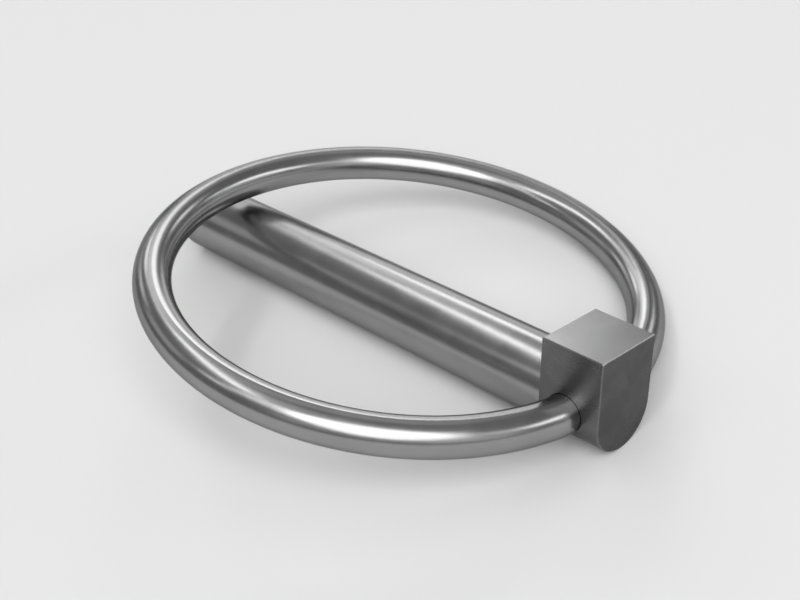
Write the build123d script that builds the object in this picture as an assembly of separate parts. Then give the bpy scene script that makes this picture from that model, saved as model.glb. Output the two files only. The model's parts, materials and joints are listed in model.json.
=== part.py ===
from build123d import *
import os
from math import acos, asin, atan, cos, degrees, sin, sqrt

# Lynch pin: a round shank with a flat-topped head, and a sprung wire ring hinged across the head.
# +X runs along the shank to its tip, and the origin is on its axis at the head's shoulder.

# Shank
shank_diameter = 8.0
shank_length = 58.4
nose_chamfer = 2.0
nose_rounding = 0.5

# Head: round below, straight sides, a flat top above the shank, and a slight draft to the butt
head_length = 7.0
head_rise = 7.0
head_draft = 0.04
edge_break = 0.1

# Ring: one length of round wire, its two ends turned into the cross hole in the head
wire_diameter = 4.0
ring_inside_diameter = 48.3
ring_clearance = 0.85
hinge_setback = 3.0
hinge_clearance = 0.05
bend_radius = 6.0
bend_margin = 0.3
end_gap = 1.0
end_chamfer = 0.3

# How far a cut runs past the surfaces that it leaves
overrun = 1.0

shank_radius = shank_diameter / 2
wire_radius = wire_diameter / 2
ring_radius = (ring_inside_diameter + wire_diameter) / 2

# Each end runs straight out of the head's side, then a tight bend leads into the large round
bend_start = shank_radius + bend_margin
bend_turn = asin(bend_start / (ring_radius - bend_radius))
ring_offset = bend_radius + (ring_radius - bend_radius) * cos(bend_turn)

# The closed ring leans just enough to pass over the shank
ring_reach = ring_offset + ring_radius
ring_tilt = asin((shank_radius + wire_radius + ring_clearance) / ring_reach)

# Lying on a table, the pin rolls until one side of the ring is as low as the shank
ring_height = ring_offset * sin(ring_tilt)
ring_drop = shank_radius - wire_radius
ring_spread = ring_height**2 + (ring_radius * cos(ring_tilt)) ** 2
roll_root = sqrt((ring_height * ring_drop) ** 2 + ring_spread * (ring_radius**2 - ring_drop**2))
rest_roll = acos((roll_root - ring_height * ring_drop) / ring_spread)


def make_shank():
    with BuildPart() as shank:
        with BuildSketch():
            with BuildLine():
                nose_start = shank_length - nose_chamfer
                Polyline(
                    (0, 0),
                    (shank_length, 0),
                    (shank_length, shank_radius - nose_chamfer),
                    (nose_start, shank_radius),
                    (0, shank_radius),
                    close=True,
                )
            profile = make_face()
            nose_corners = profile.vertices().sort_by(Axis.X)[2:].sort_by(Axis.Y)[1:]
            fillet(nose_corners, nose_rounding)
        revolve(axis=Axis.X)
    return shank.part


def make_head():
    with BuildPart() as head:
        with BuildSketch(Plane.YZ):
            Circle(shank_radius)
            Rectangle(shank_diameter, head_rise, align=(Align.CENTER, Align.MIN))
        extrude(amount=-head_length)
        butt = head.faces().sort_by(Axis.X)[0]
        shoulder = head.faces().sort_by(Axis.X)[-1]
        walls = head.faces() - [butt, shoulder]
        draft(walls, -Plane.YZ, degrees(atan(head_draft / head_length)))
        butt = head.faces().sort_by(Axis.X)[0]
        flat_top = head.faces().sort_by(Axis.Z)[-1]
        chamfer(butt.edges() + flat_top.edges(), edge_break)
        with Locations((-hinge_setback, 0, 0)):
            Cylinder(
                wire_radius + hinge_clearance,
                shank_diameter + 2 * overrun,
                rotation=(90, 0, 0),
                mode=Mode.SUBTRACT,
            )
    return head.part


def make_ring():
    turn = degrees(bend_turn)
    with BuildPart() as ring:
        with BuildLine():
            first_end = Line((0, end_gap / 2), (0, bend_start))
            first_bend = JernArc(first_end @ 1, first_end % 1, bend_radius, -turn)
            loop = JernArc(first_bend @ 1, first_bend % 1, ring_radius, 2 * turn - 360)
            last_bend = JernArc(loop @ 1, loop % 1, bend_radius, -turn)
            Line(last_bend @ 1, (0, -end_gap / 2))
        with BuildSketch(Plane(first_end @ 0, z_dir=first_end % 0)):
            Circle(wire_radius)
        sweep()
        cut_ends = ring.faces().filter_by(GeomType.PLANE)
        chamfer(cut_ends.edges(), end_chamfer)
    return Pos(-hinge_setback, 0, 0) * Rot(Y=-degrees(ring_tilt)) * ring.part


at_rest = Rot(X=degrees(rest_roll))
os.makedirs("parts", exist_ok=True)
export_step(at_rest * (make_shank() + make_head()), "parts/pin.step")
export_step(at_rest * make_ring(), "parts/ring.step")
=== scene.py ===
"""Looks of the lynch pin: turned and ground steel on the pin, drawn wire on the ring, and a plain studio."""

import json
import math

import bmesh
import bpy
from bpy.props import FloatProperty, FloatVectorProperty, PointerProperty
from mathutils import Matrix, Vector


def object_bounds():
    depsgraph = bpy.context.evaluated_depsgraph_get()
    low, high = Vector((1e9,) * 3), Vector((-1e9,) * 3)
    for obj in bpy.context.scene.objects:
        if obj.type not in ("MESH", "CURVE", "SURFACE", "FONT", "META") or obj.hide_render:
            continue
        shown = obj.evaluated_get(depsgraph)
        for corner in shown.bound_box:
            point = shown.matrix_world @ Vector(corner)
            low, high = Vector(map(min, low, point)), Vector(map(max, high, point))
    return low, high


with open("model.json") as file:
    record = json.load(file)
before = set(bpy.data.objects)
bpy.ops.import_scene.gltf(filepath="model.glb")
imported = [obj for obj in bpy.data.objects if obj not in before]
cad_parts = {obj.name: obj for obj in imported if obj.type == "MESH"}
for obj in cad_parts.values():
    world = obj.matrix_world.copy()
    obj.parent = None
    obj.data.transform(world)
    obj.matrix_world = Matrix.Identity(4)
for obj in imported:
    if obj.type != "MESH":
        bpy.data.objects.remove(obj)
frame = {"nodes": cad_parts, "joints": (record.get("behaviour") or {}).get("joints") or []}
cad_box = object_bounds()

bl_info = {
    "name": "Lynch Pin",
    "version": (1, 0, 0),
    "blender": (4, 5, 0),
    "location": "View3D > Sidebar > Lynch Pin",
    "description": "Finishes a lynch pin's two steel pieces and sets a plain studio round them",
    "category": "Object",
}

# The pin lies rolled about its own axis, +X, until the ring's lower side meets the floor.
# Its upright frame has the head's flat top level, and the hinge across it along Y.
hinge = next(joint for joint in frame["joints"] if joint["name"] == "ring_hinge")
hinge_point = Vector(hinge["pos_m"])
rest_roll = math.atan2(-hinge["axis"][2], -hinge["axis"][1])
roll_turn = Matrix.Rotation(rest_roll, 4, "X")


# ---------------------------------------------------------------- settings

class PinSettings(bpy.types.PropertyGroup):
    """Finish of the shank and the head"""

    colour: FloatVectorProperty(
        name="Steel", description="Colour of the bare steel",
        subtype="COLOR", min=0.0, max=1.0, default=(0.33, 0.33, 0.33))
    # Painted shade: this darker colour on the head's flat sides and butt stands in for the dark reflections
    # there.
    painted_shade_colour: FloatVectorProperty(
        name="Skin", description="Colour of the duller skin on the sides and butt of the head",
        subtype="COLOR", min=0.0, max=1.0, default=(0.165, 0.165, 0.165))
    roughness: FloatProperty(
        name="Roughness", description="Roughness of the polished surface",
        subtype="FACTOR", min=0.0, max=1.0, default=0.24)
    turning_pitch: FloatProperty(
        name="Turning pitch", description="Spacing of the fine rings that the lathe leaves on the shank",
        subtype="DISTANCE", unit="LENGTH", min=0.00002, max=0.001, precision=5, default=0.00014)
    mark_depth: FloatProperty(
        name="Mark depth", description="Depth of the turned rings on the shank. The head's lines are shallower",
        subtype="DISTANCE", unit="LENGTH", min=0.0, max=0.0001, precision=7, default=0.0000005)
    shank_radius: FloatProperty(
        name="Shank radius", description="Radius of the shank, and half the width of the head",
        subtype="DISTANCE", unit="LENGTH", min=0.001, max=0.02, precision=4, default=0.004)
    head_rise: FloatProperty(
        name="Head rise", description="Height of the head's flat top above the shank's axis",
        subtype="DISTANCE", unit="LENGTH", min=0.001, max=0.03, precision=4, default=0.007)
    head_length: FloatProperty(
        name="Head length", description="Length of the head along the shank",
        subtype="DISTANCE", unit="LENGTH", min=0.001, max=0.03, precision=4, default=0.007)


class RingSettings(bpy.types.PropertyGroup):
    """Finish of the sprung wire ring"""

    colour: FloatVectorProperty(
        name="Steel", description="Colour of the bare wire",
        subtype="COLOR", min=0.0, max=1.0, default=(0.33, 0.33, 0.33))
    roughness: FloatProperty(
        name="Roughness", description="Roughness of the drawn surface",
        subtype="FACTOR", min=0.0, max=1.0, default=0.24)
    line_pitch: FloatProperty(
        name="Line pitch", description="Spacing of the fine lines that the drawing die leaves along the wire",
        subtype="DISTANCE", unit="LENGTH", min=0.00002, max=0.001, precision=5, default=0.00016)
    line_length: FloatProperty(
        name="Line length", description="Length over which a drawn line fades",
        subtype="DISTANCE", unit="LENGTH", min=0.0005, max=0.1, precision=4, default=0.012)
    mark_depth: FloatProperty(
        name="Mark depth", description="Depth of the drawn lines",
        subtype="DISTANCE", unit="LENGTH", min=0.0, max=0.0001, precision=7, default=0.0000008)
    centre_line_radius: FloatProperty(
        name="Ring radius", description="Radius of the ring at the middle of the wire",
        subtype="DISTANCE", unit="LENGTH", min=0.005, max=0.2, precision=5, default=0.02615)
    wire_radius: FloatProperty(
        name="Wire radius", description="Radius of the wire",
        subtype="DISTANCE", unit="LENGTH", min=0.0005, max=0.02, precision=4, default=0.002)
    reach: FloatProperty(
        name="Reach", description="Distance from the hinge to the middle of the ring",
        subtype="DISTANCE", unit="LENGTH", min=0.005, max=0.2, precision=6, default=0.025686)
    tilt: FloatProperty(
        name="Tilt", description="Rise of the ring's plane from the hinge towards the tip of the shank",
        subtype="ANGLE", unit="ROTATION", default=math.radians(7.5937))


class StudioSettings(bpy.types.PropertyGroup):
    """Floor, light and camera"""

    floor_colour: FloatVectorProperty(
        name="Floor", description="Colour of the pale floor",
        subtype="COLOR", min=0.0, max=1.0, default=(0.71, 0.71, 0.71))
    floor_radius: FloatProperty(
        name="Floor radius", description="Radius of the floor",
        subtype="DISTANCE", unit="LENGTH", min=0.1, max=10.0, default=3.0)
    room_low: FloatVectorProperty(
        name="Room, low", description="Light of the room near the horizon",
        subtype="COLOR", min=0.0, max=1.0, default=(0.22, 0.22, 0.22))
    room_high: FloatVectorProperty(
        name="Room, high", description="Light of the room overhead",
        subtype="COLOR", min=0.0, max=1.0, default=(0.32, 0.32, 0.32))
    lamp_level: FloatProperty(
        name="Lamp level", description="Level of all the lamps together",
        subtype="FACTOR", min=0.0, max=4.0, default=1.0)
    lamp_distance: FloatProperty(
        name="Lamp distance", description="Distance of the lamps from the pin",
        subtype="DISTANCE", unit="LENGTH", min=0.2, max=10.0, default=2.5)
    lens: FloatProperty(
        name="Lens", description="Focal length on a 36 mm wide sensor",
        unit="CAMERA", min=1.0, max=500.0, default=56.99)
    camera_distance: FloatProperty(
        name="Camera distance", description="Distance of the camera from the point it looks at",
        subtype="DISTANCE", unit="LENGTH", min=0.02, max=5.0, precision=4, default=0.1352)
    camera_azimuth: FloatProperty(
        name="Camera azimuth", description="Direction of the camera round the pin, from the tip of the shank",
        subtype="ANGLE", unit="ROTATION", default=math.radians(135.112))
    camera_elevation: FloatProperty(
        name="Camera elevation", description="Angle of the camera over the head's flat top",
        subtype="ANGLE", unit="ROTATION", default=math.radians(28.351))
    camera_aim: FloatVectorProperty(
        name="Camera aim", description="Point that the camera looks at, in the upright pin's frame",
        subtype="XYZ", unit="LENGTH", precision=5, default=(0.02179, 0.00087, 0.00138))


class LynchPinSettings(bpy.types.PropertyGroup):
    """All settings of the lynch pin"""

    pin: PointerProperty(type=PinSettings, name="Pin", description="Finish of the pin")
    ring: PointerProperty(type=RingSettings, name="Ring", description="Finish of the ring")
    studio: PointerProperty(type=StudioSettings, name="Studio", description="Floor, light and camera")


# ---------------------------------------------------------------- finish values

# Lengths are in metres. A pair says where an effect begins and where it is full.

# Tool marks: fine lines, deeper and shallower in broad bands.
BAND_SCALE = 0.21
BAND_RANGE = (0.3, 0.7)
SHALLOWEST_LINE = 0.35
LINE_TONE_RANGE = (0.7, 1.3)
NOISE_MIDDLE = 0.5

# Bloom: slow clouds, and a speckle many times finer than they are.
CLOUD_RANGE = (0.32, 0.68)
SPECKLE_RANGE = (0.35, 0.65)
SPECKLE_FINENESS = 14.0
PIN_CLOUD_SCALE = 260.0
RING_CLOUD_SCALE = 240.0

# Steel: its darker tint at a grazing angle, and what clouds and lines do to its colour and roughness.
GRAZING_TINT = (0.5, 0.5, 0.5, 1.0)
CLOUD_SHADES = (0.96, 1.04)
CLOUD_ROUGHNESS = 0.012
LINE_ROUGHNESS = 0.008

# Marks on the pin: where shank and butt begin, how slowly a line changes along itself, and the head's
# share of the depth.
SHOULDER_LINE = 0.00002
BUTT_DEPTH = 0.00005
TURNED_SWAY = 220.0
GROUND_STRETCH = 0.03
SAWN_STRETCH = 0.02
HEAD_LINE_DEPTH = 0.15

# Rubbed edges of the head. Nearness to its faces is added up, so an edge counts about two.
EDGE_WIDTH = 0.00035
RUB_RANGE = (1.15, 1.9)
RUB_BETWEEN_SPECKLES = 0.4
RUB_COVER = 0.12
RUB_SHADE = 1.2

# Dull skin and painted shade of the head: its flat sides and butt are rougher, and they are painted darker as a
# stand-in for their dark reflections, the butt darker still. Both fade in on the round underside, in shank
# radii, and below the flat top.
SKIN_AND_PAINTED_SHADE_ABOVE = (-0.75, -0.35)
SKIN_AND_PAINTED_SHADE_BELOW_TOP = (0.00003, 0.00012)
PAINTED_SHADE_BETWEEN_CLOUDS = 0.9
SKIN_ROUGHNESS = 0.04
BUTT_PAINTED_SHADE = 0.7

# Oil at the hinge: how far it spreads on the head from the hinge line, and on the wire from its outer
# end, in wire radii, and from the middle of the head.
OIL_ON_HEAD = (0.0029, 0.002)
OIL_BETWEEN_CLOUDS = 0.45
OIL_ALONG_RING = (2.2, 1.0)
OIL_BESIDE_HEAD = (0.0048, 0.0042)
OIL_COVER = 0.15
OIL_SHADE = 0.5


# ---------------------------------------------------------------- node helpers

def fill(tree, node, inputs):
    """Sets a node's inputs, by name or number, from values or from other nodes' sockets."""
    for key, value in inputs.items():
        if isinstance(value, bpy.types.NodeSocket):
            tree.links.new(value, node.inputs[key])
        else:
            node.inputs[key].default_value = value
    return node


def add(tree, kind, inputs=None, **settings):
    """Adds a shader node with its settings and inputs."""
    node = tree.nodes.new("ShaderNode" + kind)
    for key, value in settings.items():
        setattr(node, key, value)
    return fill(tree, node, inputs or {})


def sums(tree, operation, *values):
    """Result of a Math node."""
    return add(tree, "Math", dict(enumerate(values)), operation=operation).outputs[0]


def vector_sums(tree, operation, *vectors):
    """Vector that a Vector Math node gives."""
    return add(tree, "VectorMath", dict(enumerate(vectors)), operation=operation).outputs["Vector"]


def diagonal(tree, first, second):
    """Length of the diagonal over two sides at right angles."""
    squares = [sums(tree, "MULTIPLY", side, side) for side in (first, second)]
    return sums(tree, "SQRT", sums(tree, "ADD", *squares))


def ramp(tree, value, low, high, to_low=0.0, to_high=1.0, smooth=True):
    """A value taken from one range to another, with soft or straight ends."""
    node = add(tree, "MapRange", {
        "Value": value, "From Min": low, "From Max": high, "To Min": to_low, "To Max": to_high})
    node.interpolation_type = "SMOOTHSTEP" if smooth else "LINEAR"
    return node.outputs["Result"]


def span(tree, mask, to_low, to_high, smooth=True):
    """A mask, which runs from 0 to 1, taken to another range."""
    return ramp(tree, mask, 0.0, 1.0, to_low, to_high, smooth)


def blend_colour(tree, factor, first, second):
    """Colour between two, by a mask."""
    node = add(tree, "Mix", data_type="RGBA")
    fill(tree, node, {0: factor, 6: first, 7: second})
    return node.outputs[2]


def blend_vector(tree, factor, first, second):
    """Vector between two, by a mask."""
    node = add(tree, "Mix", data_type="VECTOR")
    fill(tree, node, {0: factor, 4: first, 5: second})
    return node.outputs[1]


def shade(colour, level):
    """A colour made lighter or darker, as a socket takes it."""
    return tuple(min(1.0, channel * level) for channel in colour) + (1.0,)


def new_group(name, inputs, outputs):
    """An empty shader node group with its sockets. Gives the tree, its input node and its output node."""
    tree = bpy.data.node_groups.new(name, "ShaderNodeTree")
    for socket, kind, value in inputs:
        made = tree.interface.new_socket(socket, in_out="INPUT", socket_type=kind)
        if value is not None:
            made.default_value = value
    for socket in outputs:
        tree.interface.new_socket(socket, in_out="OUTPUT", socket_type="NodeSocketFloat")
    return tree, tree.nodes.new("NodeGroupInput"), tree.nodes.new("NodeGroupOutput")


def use_group(tree, group, **inputs):
    """Places a node group in a tree."""
    node = tree.nodes.new("ShaderNodeGroup")
    node.node_tree = group
    return fill(tree, node, inputs)


# ---------------------------------------------------------------- shared effects

def tool_marks():
    """Fine parallel marks left by a tool or a die. The vector is in mark widths, stretched along the marks."""
    if "Tool marks" in bpy.data.node_groups:
        return bpy.data.node_groups["Tool marks"]
    tree, given, made = new_group("Tool marks", [("Vector", "NodeSocketVector", None)], ["Height", "Tone"])
    vector = given.outputs["Vector"]
    fine = add(tree, "TexNoise", {"Vector": vector, "Scale": 1.0, "Detail": 1.0, "Roughness": 0.5})
    broad = add(tree, "TexNoise", {"Vector": vector, "Scale": BAND_SCALE, "Detail": 2.0, "Roughness": 0.5})
    depth = ramp(tree, broad.outputs["Fac"], *BAND_RANGE, SHALLOWEST_LINE, 1.0)
    height = sums(tree, "MULTIPLY", sums(tree, "SUBTRACT", fine.outputs["Fac"], NOISE_MIDDLE), depth)
    tone = ramp(tree, sums(tree, "ADD", fine.outputs["Fac"], broad.outputs["Fac"]), *LINE_TONE_RANGE)
    fill(tree, made, {"Height": height, "Tone": tone})
    return tree


def plating_bloom():
    """Slow cloudy change over a plated or polished surface, and a fine speckle."""
    if "Plating bloom" in bpy.data.node_groups:
        return bpy.data.node_groups["Plating bloom"]
    tree, given, made = new_group(
        "Plating bloom",
        [("Vector", "NodeSocketVector", None), ("Scale", "NodeSocketFloat", 300.0)],
        ["Cloud", "Speckle"])
    vector, scale = given.outputs["Vector"], given.outputs["Scale"]
    cloud = add(tree, "TexNoise", {
        "Vector": vector, "Scale": scale, "Detail": 4.0, "Roughness": 0.55, "Distortion": 0.4})
    speckle = add(tree, "TexNoise", {
        "Vector": vector, "Scale": sums(tree, "MULTIPLY", scale, SPECKLE_FINENESS),
        "Detail": 2.0, "Roughness": 0.6})
    fill(tree, made, {
        "Cloud": ramp(tree, cloud.outputs["Fac"], *CLOUD_RANGE),
        "Speckle": ramp(tree, speckle.outputs["Fac"], *SPECKLE_RANGE)})
    return tree


def steel(name):
    """A new material with a metal shader. Gives the material, its tree and the shader."""
    material = bpy.data.materials.new(name)
    material.use_nodes = True
    tree = material.node_tree
    tree.nodes.clear()
    shader = add(tree, "BsdfPrincipled", {"Metallic": 1.0, "Specular Tint": GRAZING_TINT})
    add(tree, "OutputMaterial", {"Surface": shader.outputs["BSDF"]})
    return material, tree, shader


def clouded(tree, settings, bloom):
    """The steel's colour, a little lighter and darker in clouds."""
    dark, light = (shade(settings.colour, level) for level in CLOUD_SHADES)
    return blend_colour(tree, bloom.outputs["Cloud"], dark, light)


def oiled(tree, settings, oil, colour):
    """A colour darkened where oil lies."""
    cover = sums(tree, "MULTIPLY", oil, OIL_COVER)
    return blend_colour(tree, cover, colour, shade(settings.colour, OIL_SHADE))


def roughened(tree, settings, marks, bloom):
    """The steel's roughness, changed a little by its lines and its clouds."""
    smoother, rougher = settings.roughness - LINE_ROUGHNESS, settings.roughness + LINE_ROUGHNESS
    by_lines = span(tree, marks.outputs["Tone"], smoother, rougher, smooth=False)
    by_clouds = span(tree, bloom.outputs["Cloud"], -CLOUD_ROUGHNESS, CLOUD_ROUGHNESS, smooth=False)
    return sums(tree, "ADD", by_lines, by_clouds)


def join_finish(tree, shader, colour, rough, height, depth):
    """Joins colour, roughness and the height of the marks to a shader."""
    bump = add(tree, "Bump", {"Height": height, "Strength": 1.0, "Distance": depth})
    fill(tree, shader, {"Base Color": colour, "Roughness": rough, "Normal": bump.outputs["Normal"]})


# ---------------------------------------------------------------- pieces

class LYNCHPIN_OT_finish_pin(bpy.types.Operator):
    """Give the pin its steel: a turned shank, a ground head with rubbed edges and with dull sides and butt in
    painted shade, an oily hinge
    """

    bl_idname = "lynch_pin.finish_pin"
    bl_label = "Finish the pin"

    def execute(self, context):
        settings = context.scene.lynch_pin.pin
        material, tree, shader = steel("turned_steel")
        coords = add(tree, "TexCoord").outputs["Object"]
        upright = add(
            tree, "Mapping", {"Vector": coords, "Rotation": (-rest_roll, 0.0, 0.0)},
            vector_type="POINT").outputs["Vector"]
        place = add(tree, "SeparateXYZ", {"Vector": upright})
        along, across, up = place.outputs["X"], place.outputs["Y"], place.outputs["Z"]
        below_top = sums(tree, "SUBTRACT", settings.head_rise, up)
        on_shank = sums(tree, "GREATER_THAN", along, SHOULDER_LINE)
        on_butt = sums(tree, "LESS_THAN", along, BUTT_DEPTH - settings.head_length)

        # Turned rings run round the shank and round its end, ground lines along the head, and sawn
        # lines across its butt.
        per_pitch = 1.0 / settings.turning_pitch
        turned = add(tree, "CombineXYZ", {
            "X": sums(tree, "MULTIPLY", along, per_pitch),
            "Y": sums(tree, "MULTIPLY", diagonal(tree, across, up), per_pitch),
            "Z": sums(tree, "MULTIPLY", across, TURNED_SWAY)}).outputs["Vector"]
        ground = vector_sums(tree, "MULTIPLY", upright, (GROUND_STRETCH * per_pitch, per_pitch, per_pitch))
        sawn = vector_sums(tree, "MULTIPLY", upright, (0.0, SAWN_STRETCH * per_pitch, per_pitch))
        laid = blend_vector(tree, on_shank, blend_vector(tree, on_butt, ground, sawn), turned)
        marks = use_group(tree, tool_marks(), Vector=laid)
        bloom = use_group(tree, plating_bloom(), Vector=upright, Scale=PIN_CLOUD_SCALE)

        # The head's edges are rubbed: near an edge a point is close to two of the head's faces at once.
        out = diagonal(tree, across, sums(tree, "MINIMUM", up, 0.0))
        to_side = sums(tree, "SUBTRACT", settings.shank_radius, out)
        to_butt = sums(tree, "ADD", along, settings.head_length)
        by_side, by_top, by_butt = (ramp(tree, gap, EDGE_WIDTH, 0.0) for gap in (to_side, below_top, to_butt))
        near = sums(tree, "ADD", sums(tree, "ADD", by_side, by_top), by_butt)
        speckled = span(tree, bloom.outputs["Speckle"], RUB_BETWEEN_SPECKLES, 1.0)
        rub = sums(tree, "MULTIPLY", ramp(tree, near, *RUB_RANGE), speckled)

        # The head's flat sides and butt keep a duller skin, and their colour is painted shade: darker, and
        # darker still on the butt, standing in for the dark reflections there. Its top is ground bright, and
        # its round underside is as bright as the shank.
        on_side = ramp(tree, up, *(height * settings.shank_radius for height in SKIN_AND_PAINTED_SHADE_ABOVE))
        on_head = sums(tree, "SUBTRACT", 1.0, on_shank)
        skin_and_painted_shade = sums(tree, "MULTIPLY", sums(tree, "MAXIMUM", on_side, on_butt), on_head)
        skin_and_painted_shade = sums(tree, "MULTIPLY", skin_and_painted_shade, ramp(tree, below_top, *SKIN_AND_PAINTED_SHADE_BELOW_TOP))
        patchy_painted_shade = sums(tree, "MULTIPLY", skin_and_painted_shade, span(tree, bloom.outputs["Cloud"], PAINTED_SHADE_BETWEEN_CLOUDS, 1.0))
        painted_shade_tone = blend_colour(
            tree, on_butt, shade(settings.painted_shade_colour, 1.0), shade(settings.painted_shade_colour, BUTT_PAINTED_SHADE))

        # Oil and dust gather round the wire where it enters the head.
        from_hinge = vector_sums(tree, "SUBTRACT", upright, tuple(hinge_point))
        from_hinge = vector_sums(tree, "MULTIPLY", from_hinge, (1.0, 0.0, 1.0))
        distance = add(tree, "VectorMath", {0: from_hinge}, operation="LENGTH").outputs["Value"]
        oil = sums(
            tree, "MULTIPLY", ramp(tree, distance, *OIL_ON_HEAD),
            span(tree, bloom.outputs["Cloud"], OIL_BETWEEN_CLOUDS, 1.0))

        # The painted shade on the sides and butt goes on first, then the rubbed edges and the oil.
        colour = blend_colour(tree, patchy_painted_shade, clouded(tree, settings, bloom), painted_shade_tone)
        colour = blend_colour(
            tree, sums(tree, "MULTIPLY", rub, RUB_COVER), colour, shade(settings.colour, RUB_SHADE))
        colour = oiled(tree, settings, oil, colour)
        rough = sums(
            tree, "ADD", roughened(tree, settings, marks, bloom),
            sums(tree, "MULTIPLY", skin_and_painted_shade, SKIN_ROUGHNESS))
        height = sums(tree, "MULTIPLY", marks.outputs["Height"], span(tree, on_shank, HEAD_LINE_DEPTH, 1.0))
        join_finish(tree, shader, colour, rough, height, settings.mark_depth)
        frame["nodes"]["pin"].material_slots[0].material = material
        return {"FINISHED"}


class LYNCHPIN_OT_finish_ring(bpy.types.Operator):
    """Give the ring its steel: die lines along the drawn wire, and a little oil where it enters the head"""

    bl_idname = "lynch_pin.finish_ring"
    bl_label = "Finish the ring"

    def execute(self, context):
        settings = context.scene.lynch_pin.ring
        material, tree, shader = steel("drawn_wire")
        lean = Matrix.Rotation(-settings.tilt, 4, "Y") @ Matrix.Translation((settings.reach, 0.0, 0.0))
        lie = roll_turn @ Matrix.Translation(hinge_point) @ lean
        coords = add(tree, "TexCoord").outputs["Object"]
        flat = add(tree, "Mapping", {
            "Vector": coords, "Location": tuple(lie.translation), "Rotation": tuple(lie.to_euler("XYZ"))},
            vector_type="TEXTURE").outputs["Vector"]
        place = add(tree, "SeparateXYZ", {"Vector": flat})
        side_x, side_y, up = place.outputs["X"], place.outputs["Y"], place.outputs["Z"]

        # Die lines run along the wire and are narrow across its section.
        run = sums(tree, "MULTIPLY", sums(tree, "ARCTAN2", side_y, side_x), settings.centre_line_radius)
        out = sums(tree, "SUBTRACT", diagonal(tree, side_x, side_y), settings.centre_line_radius)
        drawn = add(tree, "CombineXYZ", {
            "X": sums(tree, "DIVIDE", run, settings.line_length),
            "Y": sums(tree, "DIVIDE", out, settings.line_pitch),
            "Z": sums(tree, "DIVIDE", up, settings.line_pitch)}).outputs["Vector"]
        marks = use_group(tree, tool_marks(), Vector=drawn)
        bloom = use_group(tree, plating_bloom(), Vector=flat, Scale=RING_CLOUD_SCALE)

        # The wire's ends turn in the head, and oil creeps out beside it.
        from_end = sums(tree, "ADD", side_x, settings.reach + 2.0 * settings.wire_radius)
        at_end = ramp(tree, from_end, *(share * settings.wire_radius for share in OIL_ALONG_RING))
        by_head = ramp(tree, sums(tree, "ABSOLUTE", side_y), *OIL_BESIDE_HEAD)
        oil = sums(tree, "MULTIPLY", at_end, by_head)

        colour = oiled(tree, settings, oil, clouded(tree, settings, bloom))
        rough = roughened(tree, settings, marks, bloom)
        join_finish(tree, shader, colour, rough, marks.outputs["Height"], settings.mark_depth)
        frame["nodes"]["ring"].material_slots[0].material = material
        return {"FINISHED"}


# ---------------------------------------------------------------- stage

SENSOR_WIDTH_MM = 36.0
NEAREST_VIEW, FARTHEST_VIEW = 0.005, 20.0
FLOOR_SIDES = 96
FLOOR_ROUGHNESS = 0.9
ROOM_RISE = (0.5, 1.0)

# Name, azimuth, elevation, width and height in degrees as the pin sees them, and level of light.
# Where a lamp has them, its roll in degrees and its outline follow.
SOFTBOXES = (
    ("front_octabox", 131.5, 41.0, 53.0, 50.0, 3.0, 0.0, "ELLIPSE"),
    ("octabox_left_edge", 164.0, 38.0, 14.0, 34.0, 1.0),
    ("octabox_right_edge", 100.0, 43.5, 12.0, 29.0, 2.0),
    ("overhead_fill", 100.0, 74.0, 70.0, 18.0, 0.3),
    ("overhead_back_fill", 312.0, 66.0, 30.0, 20.0, 0.3),
    ("low_front_fill", 135.0, 14.0, 90.0, 20.0, 0.3),
    ("low_left_fill", 170.0, 14.0, 40.0, 14.0, 0.3),
    ("low_back_fill", 313.0, 13.0, 38.0, 15.0, 1.5),
    ("overhead_strip", 26.0, 60.5, 43.0, 7.0, 4.0, 6.0),
    ("strip_near_end", 78.0, 51.0, 14.0, 7.0, 2.0, -10.0),
    ("strip_far_bend", 355.0, 48.5, 14.0, 6.0, 1.0, 25.0),
    ("strip_far_end", 334.0, 47.0, 22.0, 7.0, 1.0, 38.0),
    ("strip_far_fill", 337.0, 41.0, 18.0, 6.0, 1.5, 15.0),
    ("left_fill", 182.0, 30.0, 10.0, 16.0, 1.0),
    ("left_softbox", 200.0, 27.0, 16.0, 10.0, 3.0),
    ("left_strip", 219.0, 28.5, 20.0, 8.0, 4.0),
    ("far_left_strip", 240.0, 26.5, 19.0, 6.5, 2.0),
    ("left_low_fill", 222.0, 17.0, 36.0, 10.0, 0.5),
    ("back_left_softbox", 273.0, 32.0, 14.0, 7.0, 3.0),
    ("back_high_fill", 302.0, 44.0, 18.0, 20.0, 0.3),
    ("back_softbox", 314.0, 36.0, 12.0, 10.0, 4.0),
    ("back_fill", 315.0, 28.0, 22.0, 16.0, 0.8),
    ("back_middle_softbox", 328.0, 34.0, 10.0, 8.0, 1.5),
    ("back_right_softbox", 342.0, 30.5, 10.0, 8.0, 4.0),
    ("far_right_softbox", 4.0, 22.0, 12.0, 9.0, 1.5),
    ("far_low_fill", 350.0, 14.0, 20.0, 16.0, 0.5),
    ("far_right_fill", 31.0, 20.0, 27.0, 16.0, 0.5),
    ("right_softbox", 77.0, 40.0, 15.0, 9.0, 2.0),
    ("right_fill", 62.0, 29.0, 12.0, 8.0, 2.0),
)


def facing(aim, azimuth, elevation, distance):
    """Place of a lamp or camera that looks at a point, given in the upright pin's frame and rolled with it."""
    back = Vector((
        math.cos(elevation) * math.cos(azimuth),
        math.cos(elevation) * math.sin(azimuth),
        math.sin(elevation)))
    right = Vector((-math.sin(azimuth), math.cos(azimuth), 0.0))
    turn = Matrix((right, back.cross(right), back)).transposed().to_4x4()
    return roll_turn @ Matrix.Translation(Vector(aim) + back * distance) @ turn


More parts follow.
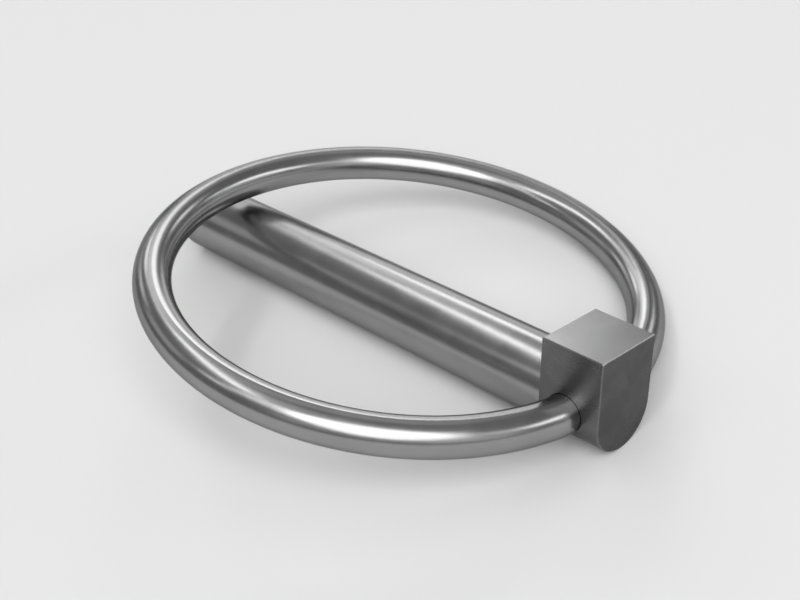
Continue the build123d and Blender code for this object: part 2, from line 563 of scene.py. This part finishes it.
def softbox(settings, name, azimuth, elevation, wide, tall, level, roll=0.0, outline="RECTANGLE"):
    """An area lamp as large as it looks from the pin, and as bright as its level says."""
    data = bpy.data.lights.new(name, "AREA")
    data.shape = outline
    data.size = 2.0 * settings.lamp_distance * math.tan(math.radians(wide / 2.0))
    data.size_y = 2.0 * settings.lamp_distance * math.tan(math.radians(tall / 2.0))
    area = data.size * data.size_y * (math.pi / 4.0 if outline == "ELLIPSE" else 1.0)
    data.energy = level * settings.lamp_level * math.pi * area
    lamp = bpy.data.objects.new(name, data)
    stand = facing(settings.camera_aim, math.radians(azimuth), math.radians(elevation), settings.lamp_distance)
    lamp.matrix_world = stand @ Matrix.Rotation(math.radians(roll), 4, "Z")
    bpy.context.scene.collection.objects.link(lamp)


class LYNCHPIN_OT_set_stage(bpy.types.Operator):
    """Set the pale floor, the soft lamps, the room and the camera"""

    bl_idname = "lynch_pin.set_stage"
    bl_label = "Set the stage"

    def execute(self, context):
        scene = context.scene
        settings = scene.lynch_pin.studio
        self.lay_floor(scene, settings)
        self.light_room(scene, settings)
        for lamp in SOFTBOXES:
            softbox(settings, *lamp)
        self.place_camera(scene, settings)
        scene.view_settings.view_transform = "Standard"
        return {"FINISHED"}

    def lay_floor(self, scene, settings):
        shape = bmesh.new()
        bmesh.ops.create_circle(shape, cap_ends=True, segments=FLOOR_SIDES, radius=settings.floor_radius)
        bmesh.ops.translate(shape, verts=shape.verts, vec=(0.0, 0.0, cad_box[0].z))
        mesh = bpy.data.meshes.new("floor")
        shape.to_mesh(mesh)
        shape.free()
        floor = bpy.data.objects.new("floor", mesh)
        scene.collection.objects.link(floor)
        material = bpy.data.materials.new("pale_floor")
        material.use_nodes = True
        fill(material.node_tree, material.node_tree.nodes["Principled BSDF"], {
            "Base Color": shade(settings.floor_colour, 1.0),
            "Roughness": FLOOR_ROUGHNESS, "Specular IOR Level": 0.0})
        mesh.materials.append(material)

    def light_room(self, scene, settings):
        world = bpy.data.worlds.new("room")
        world.use_nodes = True
        tree = world.node_tree
        tree.nodes.clear()
        way = add(tree, "SeparateXYZ", {"Vector": add(tree, "TexCoord").outputs["Generated"]})
        overhead = ramp(tree, way.outputs["Z"], *ROOM_RISE)
        light = blend_colour(tree, overhead, shade(settings.room_low, 1.0), shade(settings.room_high, 1.0))
        background = add(tree, "Background", {"Color": light, "Strength": 1.0})
        add(tree, "OutputWorld", {"Surface": background.outputs["Background"]})
        scene.world = world

    def place_camera(self, scene, settings):
        data = bpy.data.cameras.new("camera")
        data.sensor_fit, data.sensor_width, data.lens = "HORIZONTAL", SENSOR_WIDTH_MM, settings.lens
        data.clip_start, data.clip_end = NEAREST_VIEW, FARTHEST_VIEW
        camera = bpy.data.objects.new("camera", data)
        camera.matrix_world = facing(
            settings.camera_aim, settings.camera_azimuth, settings.camera_elevation, settings.camera_distance)
        scene.collection.objects.link(camera)
        scene.camera = camera


class LYNCHPIN_PT_panel(bpy.types.Panel):
    """Lists the lynch pin's steps and settings"""

    bl_idname = "LYNCHPIN_PT_panel"
    bl_label = "Lynch Pin"
    bl_space_type = "VIEW_3D"
    bl_region_type = "UI"
    bl_category = "Lynch Pin"

    def draw(self, context):
        settings = context.scene.lynch_pin
        steps = (
            (LYNCHPIN_OT_finish_pin, settings.pin),
            (LYNCHPIN_OT_finish_ring, settings.ring),
            (LYNCHPIN_OT_set_stage, settings.studio))
        for operator, group in steps:
            box = self.layout.box()
            box.operator(operator.bl_idname)
            for name in group.bl_rna.properties.keys():
                if name not in {"rna_type", "name"}:
                    box.prop(group, name)


classes = (
    PinSettings, RingSettings, StudioSettings, LynchPinSettings,
    LYNCHPIN_OT_finish_pin, LYNCHPIN_OT_finish_ring, LYNCHPIN_OT_set_stage, LYNCHPIN_PT_panel)


def register():
    for cls in classes:
        bpy.utils.register_class(cls)
    bpy.types.Scene.lynch_pin = PointerProperty(type=LynchPinSettings)


def unregister():
    del bpy.types.Scene.lynch_pin
    for cls in reversed(classes):
        bpy.utils.unregister_class(cls)


def main():
    register()
    bpy.ops.lynch_pin.finish_pin()
    bpy.ops.lynch_pin.finish_ring()
    bpy.ops.lynch_pin.set_stage()


if __name__ == "__main__":
    main()
